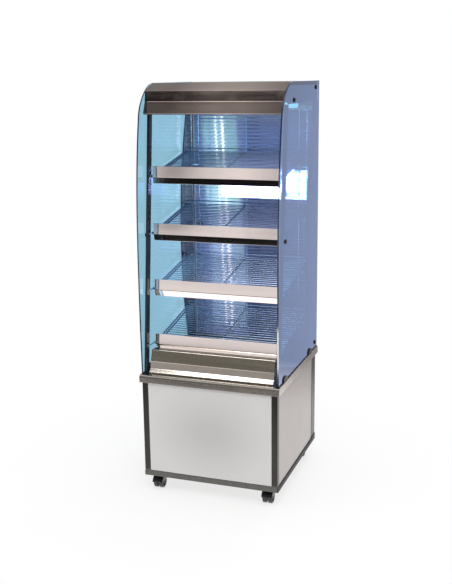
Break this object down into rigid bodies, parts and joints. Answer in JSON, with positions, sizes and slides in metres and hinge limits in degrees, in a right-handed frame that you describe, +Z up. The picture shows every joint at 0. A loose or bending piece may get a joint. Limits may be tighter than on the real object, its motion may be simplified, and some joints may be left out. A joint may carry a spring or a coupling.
{
  "type": "bakery display case",
  "caption": "Open-fronted bakery display case: glass sides, sloping wire shelves, lit canopy and sliding rear doors above a castored base cupboard.",
  "frame": {"origin": "floor level, under the centre of the worktop", "axes": "+Z up, -Y towards the customer side, +X to the customer's right"},
  "size_m": [0.6, 0.626, 1.68],
  "materials": {
    "frame_metal": "brushed, dark reflections",
    "trim_black": "satin",
    "panel_white": "satin laminate",
    "panel_side": "satin laminate",
    "stainless": "brushed",
    "worktop_steel": "brushed, polished front edge",
    "glass_blue": "clear with a cool tint",
    "door_clear": "ribbed clear plastic",
    "rubber_black": "matt",
    "post_dark": "satin",
    "plate_dark": "satin",
    "header_steel": "brushed",
    "lip_steel": "brushed",
    "riser_steel": "brushed",
    "wire_chrome": "bright",
    "zinc": "zinc plated",
    "light_body": "satin",
    "diffuser": "opal",
    "plastic_black": "moulded",
    "plastic_grey": "moulded",
    "plastic_red": "moulded",
    "castor_wheel": "satin"
  },
  "bodies": {
    "case": {"base_frame": "frame_metal", "base_side_trims": "trim_black", "front_panel": "panel_white", "left_panel": "panel_side", "right_panel": "panel_side", "base_floor": "panel_side", "castor_mounts": "zinc", "castor_tops": "zinc", "worktop": "worktop_steel", "side_glass_left": "glass_blue", "side_glass_right": "glass_blue", "glass_gaskets": "rubber_black", "glass_clamps": "plastic_black", "glass_screws": "plastic_black", "front_post_left": "post_dark", "front_post_right": "post_dark", "rear_side_plate_left": "plate_dark", "rear_side_plate_right": "plate_dark", "canopy": "stainless", "header_fascia": "header_steel", "riser": "riser_steel", "crumb_tray": "stainless", "led_batten": "light_body", "led_diffuser": "diffuser", "led_driver": "plastic_grey", "switch_housing": "plastic_black", "power_inlet": "plastic_black", "wire_ladder_left": "wire_chrome", "wire_ladder_right": "wire_chrome", "shelf_deck_1": "wire_chrome", "shelf_deck_2": "wire_chrome", "shelf_deck_3": "wire_chrome", "shelf_deck_4": "wire_chrome", "shelf_lip_1": "lip_steel", "shelf_lip_2": "lip_steel", "shelf_lip_3": "lip_steel", "shelf_lip_4": "lip_steel", "shelf_brackets": "stainless", "door_track_top": "light_body", "door_track_bottom": "light_body", "base_hinge_pins": "zinc"},
    "rear_door_left": {"rear_door_left": "door_clear", "door_pull_left": "plastic_black"},
    "rear_door_right": {"rear_door_right": "door_clear", "door_pull_right": "plastic_black"},
    "cupboard_door": {"base_door": "panel_white", "base_door_handle": "stainless", "base_door_hinges": "zinc"},
    "light_switch": {"light_switch": "plastic_red"},
    "castor_fl": {"castor_yoke_fl": "plastic_black"},
    "wheels_fl": {"castor_wheels_fl": "castor_wheel"},
    "castor_fr": {"castor_yoke_fr": "plastic_black"},
    "wheels_fr": {"castor_wheels_fr": "castor_wheel"},
    "castor_rl": {"castor_yoke_rl": "plastic_black"},
    "wheels_rl": {"castor_wheels_rl": "castor_wheel"},
    "castor_rr": {"castor_yoke_rr": "plastic_black"},
    "wheels_rr": {"castor_wheels_rr": "castor_wheel"},
    "brake_fl": {"brake_pedal_fl": "plastic_black"},
    "brake_fr": {"brake_pedal_fr": "plastic_black"}
  },
  "joints": [
    {"name": "rear_door_left_slide", "type": "slide", "parent": "case", "child": "rear_door_left", "axis": [1, 0, 0], "range_m": [0, 0.25]},
    {"name": "rear_door_right_slide", "type": "slide", "parent": "case", "child": "rear_door_right", "axis": [-1, 0, 0], "range_m": [0, 0.25]},
    {"name": "cupboard_door_hinge", "type": "hinge", "parent": "case", "child": "cupboard_door", "pos_m": [-0.2675, 0.3076, 0.27], "axis": [0, 0, 1], "range_deg": [0, 110]},
    {"name": "light_switch_rock", "type": "hinge", "parent": "case", "child": "light_switch", "pos_m": [0.205, 0.302, 1.644], "axis": [1, 0, 0], "range_deg": [0, 20]},
    {"name": "castor_fl_swivel", "type": "hinge", "parent": "case", "child": "castor_fl", "pos_m": [-0.241, -0.249, 0.055], "axis": [0, 0, 1], "continuous": true},
    {"name": "wheels_fl_roll", "type": "hinge", "parent": "castor_fl", "child": "wheels_fl", "pos_m": [-0.241, -0.264, 0.025], "axis": [1, 0, 0], "continuous": true},
    {"name": "castor_fr_swivel", "type": "hinge", "parent": "case", "child": "castor_fr", "pos_m": [0.241, -0.249, 0.055], "axis": [0, 0, 1], "continuous": true},
    {"name": "wheels_fr_roll", "type": "hinge", "parent": "castor_fr", "child": "wheels_fr", "pos_m": [0.241, -0.264, 0.025], "axis": [1, 0, 0], "continuous": true},
    {"name": "castor_rl_swivel", "type": "hinge", "parent": "case", "child": "castor_rl", "pos_m": [-0.241, 0.249, 0.055], "axis": [0, 0, 1], "continuous": true},
    {"name": "wheels_rl_roll", "type": "hinge", "parent": "castor_rl", "child": "wheels_rl", "pos_m": [-0.241, 0.234, 0.025], "axis": [1, 0, 0], "continuous": true},
    {"name": "castor_rr_swivel", "type": "hinge", "parent": "case", "child": "castor_rr", "pos_m": [0.241, 0.249, 0.055], "axis": [0, 0, 1], "continuous": true},
    {"name": "wheels_rr_roll", "type": "hinge", "parent": "castor_rr", "child": "wheels_rr", "pos_m": [0.241, 0.234, 0.025], "axis": [1, 0, 0], "continuous": true},
    {"name": "brake_fl_press", "type": "hinge", "parent": "castor_fl", "child": "brake_fl", "pos_m": [-0.241, -0.295, 0.04], "axis": [1, 0, 0], "range_deg": [0, 20]},
    {"name": "brake_fr_press", "type": "hinge", "parent": "castor_fr", "child": "brake_fr", "pos_m": [0.241, -0.295, 0.04], "axis": [1, 0, 0], "range_deg": [0, 20]}
  ]
}
